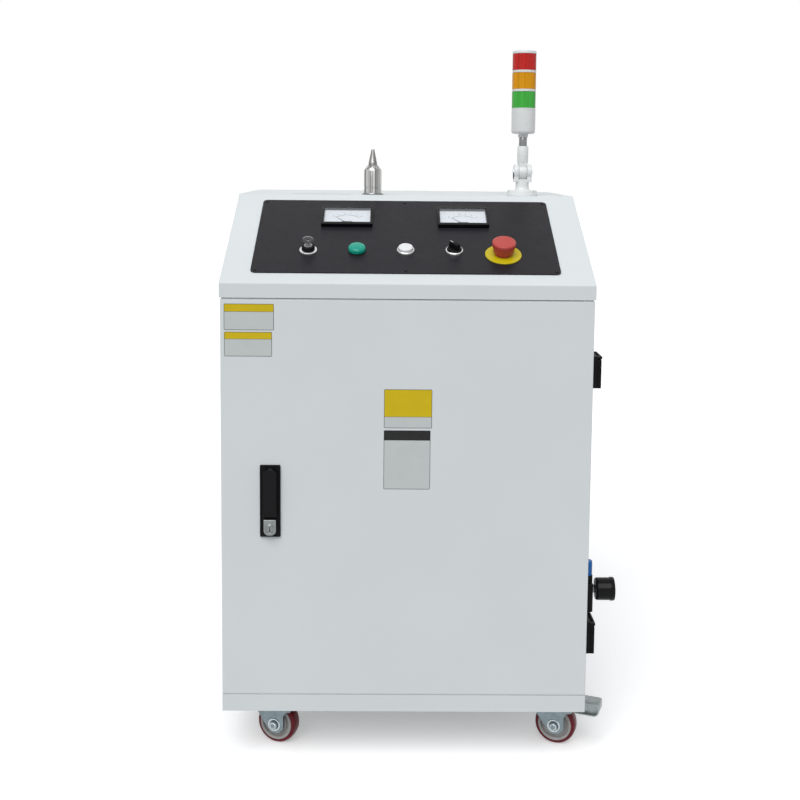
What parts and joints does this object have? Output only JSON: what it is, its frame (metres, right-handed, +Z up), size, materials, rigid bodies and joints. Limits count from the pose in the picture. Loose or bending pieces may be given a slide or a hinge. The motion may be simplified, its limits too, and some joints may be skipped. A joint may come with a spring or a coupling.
{
  "type": "plasma treatment machine",
  "caption": "White sheet-metal cabinet on castors with a sloping control desk, hinged lockable front door, plasma torch in a holder and a folding signal tower.",
  "frame": {"origin": "on the floor, in the middle of the bounding box", "axes": "+Z up, -Y to the front (the door's side), +X to the right of a person at the desk"},
  "size_m": [0.6586, 0.617, 1.1914],
  "materials": {
    "white_paint": "satin white powder coat",
    "black_panel": "matt black lacquer on sheet aluminium",
    "fasteners": "blackened and zinc-plated screws",
    "meter_plastic": "black moulded case, white dial",
    "clear_window": "clear glass",
    "needle_red": "black lacquered pointer",
    "control_black": "black plastic with bright rims",
    "lamp_green": "green translucent plastic",
    "button_white": "white plastic",
    "key_metal": "nickel-plated",
    "stop_yellow": "yellow plastic",
    "stop_grip": "red plastic",
    "stop_black": "dark red and black plastic",
    "tower_plastic": "white plastic",
    "tower_pole": "polished tube in white plastic",
    "lens_green": "green translucent plastic",
    "lens_amber": "amber translucent plastic",
    "lens_red": "red translucent plastic",
    "torch_steel": "turned steel",
    "nozzle_steel": "turned steel",
    "black_plastic": "black plastic",
    "seal_rubber": "foam rubber strip",
    "lock_steel": "chromed zinc and plated steel",
    "knob_blue": "blue plastic",
    "zinc_steel": "bright zinc plate",
    "tyre_red": "dark red polyurethane tread on a nylon core",
    "core_steel": "varnished laminations and taped coil",
    "cast_alloy": "anodised aluminium case"
  },
  "bodies": {
    "cabinet": {"base_tray": "white_paint", "left_side_panel": "white_paint", "right_side_panel": "white_paint", "rear_panel": "white_paint", "front_frame": "white_paint", "console_housing": "white_paint", "control_plate": "black_panel", "panel_screws": "fasteners", "meter_cases": "meter_plastic", "meter_windows": "clear_window", "control_rims": "control_black", "contact_blocks": "control_black", "power_lamp_lens": "lamp_green", "stop_plate": "stop_yellow", "stop_collar": "stop_black", "tower_foot": "tower_plastic", "torch_holder": "torch_steel", "socket_housings": "black_plastic", "regulator_body": "black_plastic", "gauge_case": "black_plastic", "fan_housing": "black_plastic", "mounting_plate": "zinc_steel", "high_voltage_transformer": "core_steel", "power_unit": "cast_alloy", "air_valve": "black_plastic", "castor_plates": "zinc_steel"},
    "door": {"door_panel": "white_paint", "door_seal": "seal_rubber", "lock_plate": "black_plastic"},
    "lock_cylinder": {"lock_cylinder": "lock_steel"},
    "lock_cam": {"lock_cam": "lock_steel"},
    "lock_lever": {"lock_lever": "black_plastic"},
    "voltmeter_needle": {"voltmeter_needle": "needle_red"},
    "ammeter_needle": {"ammeter_needle": "needle_red"},
    "power_key": {"power_key": "key_metal"},
    "run_button": {"run_button_cap": "button_white"},
    "mode_selector": {"mode_selector_knob": "control_black"},
    "stop_stem": {"stop_stem": "stop_black"},
    "stop_head": {"stop_head": "stop_grip"},
    "tower_head": {"tower_neck": "tower_pole", "tower_housing": "tower_plastic", "tower_lens_green": "lens_green", "tower_lens_amber": "lens_amber", "tower_lens_red": "lens_red"},
    "torch": {"torch_body": "torch_steel", "torch_nozzle": "nozzle_steel"},
    "upper_socket_lid": {"upper_socket_lid": "black_plastic"},
    "lower_socket_lid": {"lower_socket_lid": "black_plastic"},
    "regulator_knob": {"regulator_knob": "knob_blue"},
    "gauge_needle": {"gauge_needle": "needle_red"},
    "fan_rotor": {"fan_rotor": "black_plastic"},
    "front_left_fork": {"front_left_fork": "zinc_steel"},
    "front_left_wheel": {"front_left_wheel": "tyre_red"},
    "front_right_fork": {"front_right_fork": "zinc_steel"},
    "front_right_wheel": {"front_right_wheel": "tyre_red"},
    "brake_pedal": {"brake_pedal": "zinc_steel"},
    "rear_left_fork": {"rear_left_fork": "zinc_steel"},
    "rear_left_wheel": {"rear_left_wheel": "tyre_red"},
    "rear_right_fork": {"rear_right_fork": "zinc_steel"},
    "rear_right_wheel": {"rear_right_wheel": "tyre_red"}
  },
  "joints": [
    {"name": "door_hinge", "type": "hinge", "parent": "cabinet", "child": "door", "pos_m": [0.26025, -0.28705, 0.1175], "axis": [0, 0, 1], "range_deg": [0, 110]},
    {"name": "lock_cylinder_turn", "type": "hinge", "parent": "door", "child": "lock_cylinder", "pos_m": [-0.24825, -0.29605, 0.399], "axis": [0, 1, 0], "range_deg": [0, 90]},
    {"name": "lock_spindle_turn", "type": "hinge", "parent": "door", "child": "lock_cam", "pos_m": [-0.24825, -0.29605, 0.4923], "axis": [0, 1, 0], "range_deg": [0, 90]},
    {"name": "lock_lever_lift", "type": "hinge", "parent": "lock_cam", "child": "lock_lever", "pos_m": [-0.24825, -0.30425, 0.4923], "axis": [-1, 0, 0], "range_deg": [0, 35]},
    {"name": "voltmeter_needle_swing", "type": "hinge", "parent": "cabinet", "child": "voltmeter_needle", "pos_m": [-0.13225, -0.13619, 0.88465], "axis": [0, 0.4554, -0.8903], "range_deg": [0, 90]},
    {"name": "ammeter_needle_swing", "type": "hinge", "parent": "cabinet", "child": "ammeter_needle", "pos_m": [0.06775, -0.13619, 0.88465], "axis": [0, 0.4554, -0.8903], "range_deg": [0, 90]},
    {"name": "power_key_turn", "type": "hinge", "parent": "cabinet", "child": "power_key", "pos_m": [-0.19325, -0.21119, 0.84067], "axis": [0, 0.4554, -0.8903], "range_deg": [0, 90]},
    {"name": "run_button_press", "type": "slide", "parent": "cabinet", "child": "run_button", "axis": [0, 0.4554, -0.8903], "range_m": [0, 0.003], "stiffness_N_per_m": 600, "springref_m": -0.002},
    {"name": "mode_selector_turn", "type": "hinge", "parent": "cabinet", "child": "mode_selector", "pos_m": [0.04825, -0.21119, 0.84067], "axis": [0, 0.4554, -0.8903], "range_deg": [0, 90]},
    {"name": "emergency_stop_press", "type": "slide", "parent": "cabinet", "child": "stop_stem", "axis": [0, 0.4554, -0.8903], "range_m": [0, 0.005], "stiffness_N_per_m": 1200, "springref_m": -0.003},
    {"name": "emergency_stop_twist", "type": "hinge", "parent": "stop_stem", "child": "stop_head", "pos_m": [0.12875, -0.22009, 0.83612], "axis": [0, 0.4554, -0.8903], "range_deg": [0, 30]},
    {"name": "tower_fold", "type": "hinge", "parent": "cabinet", "child": "tower_head", "pos_m": [0.18275, -0.00105, 0.973], "axis": [-1, 0, 0], "range_deg": [0, 90]},
    {"name": "torch_lift", "type": "slide", "parent": "cabinet", "child": "torch", "axis": [0, 0, 1], "range_m": [0, 0.065]},
    {"name": "upper_socket_lid_swing", "type": "hinge", "parent": "cabinet", "child": "upper_socket_lid", "pos_m": [0.29325, -0.23605, 0.6698], "axis": [0, -1, 0], "range_deg": [0, 110], "stiffness_Nm_per_rad": 0.02, "springref_deg": -22.92},
    {"name": "lower_socket_lid_swing", "type": "hinge", "parent": "cabinet", "child": "lower_socket_lid", "pos_m": [0.29325, -0.23605, 0.2128], "axis": [0, -1, 0], "range_deg": [0, 110], "stiffness_Nm_per_rad": 0.02, "springref_deg": -22.92},
    {"name": "regulator_knob_turn", "type": "hinge", "parent": "cabinet", "child": "regulator_knob", "pos_m": [0.28125, -0.20605, 0.265], "axis": [0, 0, 1], "continuous": true},
    {"name": "gauge_needle_swing", "type": "hinge", "parent": "cabinet", "child": "gauge_needle", "pos_m": [0.32925, -0.20605, 0.265], "axis": [-1, 0, 0], "range_deg": [0, 270]},
    {"name": "fan_spin", "type": "hinge", "parent": "cabinet", "child": "fan_rotor", "pos_m": [-0.02925, 0.30245, 0.644], "axis": [0, 1, 0], "continuous": true},
    {"name": "front_left_swivel", "type": "hinge", "parent": "cabinet", "child": "front_left_fork", "pos_m": [-0.26725, -0.21105, 0.088], "axis": [0, 0, 1], "continuous": true},
    {"name": "front_left_roll", "type": "hinge", "parent": "front_left_fork", "child": "front_left_wheel", "pos_m": [-0.24204, -0.22073, 0.035], "axis": [0.3584, 0.9336, 0], "continuous": true},
    {"name": "front_right_swivel", "type": "hinge", "parent": "cabinet", "child": "front_right_fork", "pos_m": [0.20875, -0.21105, 0.088], "axis": [0, 0, 1], "continuous": true},
    {"name": "front_right_roll", "type": "hinge", "parent": "front_right_fork", "child": "front_right_wheel", "pos_m": [0.23396, -0.22073, 0.035], "axis": [0.3584, 0.9336, 0], "continuous": true},
    {"name": "brake_pedal_press", "type": "hinge", "parent": "front_right_fork", "child": "brake_pedal", "pos_m": [0.2587, -0.23022, 0.0692], "axis": [0.3584, 0.9336, 0], "range_deg": [0, 12], "stiffness_Nm_per_rad": 1, "springref_deg": -17.19},
    {"name": "rear_left_swivel", "type": "hinge", "parent": "cabinet", "child": "rear_left_fork", "pos_m": [-0.26725, 0.21745, 0.088], "axis": [0, 0, 1], "continuous": true},
    {"name": "rear_left_roll", "type": "hinge", "parent": "rear_left_fork", "child": "rear_left_wheel", "pos_m": [-0.24204, 0.20777, 0.035], "axis": [0.3584, 0.9336, 0], "continuous": true},
    {"name": "rear_right_swivel", "type": "hinge", "parent": "cabinet", "child": "rear_right_fork", "pos_m": [0.20875, 0.21745, 0.088], "axis": [0, 0, 1], "continuous": true},
    {"name": "rear_right_roll", "type": "hinge", "parent": "rear_right_fork", "child": "rear_right_wheel", "pos_m": [0.23396, 0.20777, 0.035], "axis": [0.3584, 0.9336, 0], "continuous": true}
  ]
}
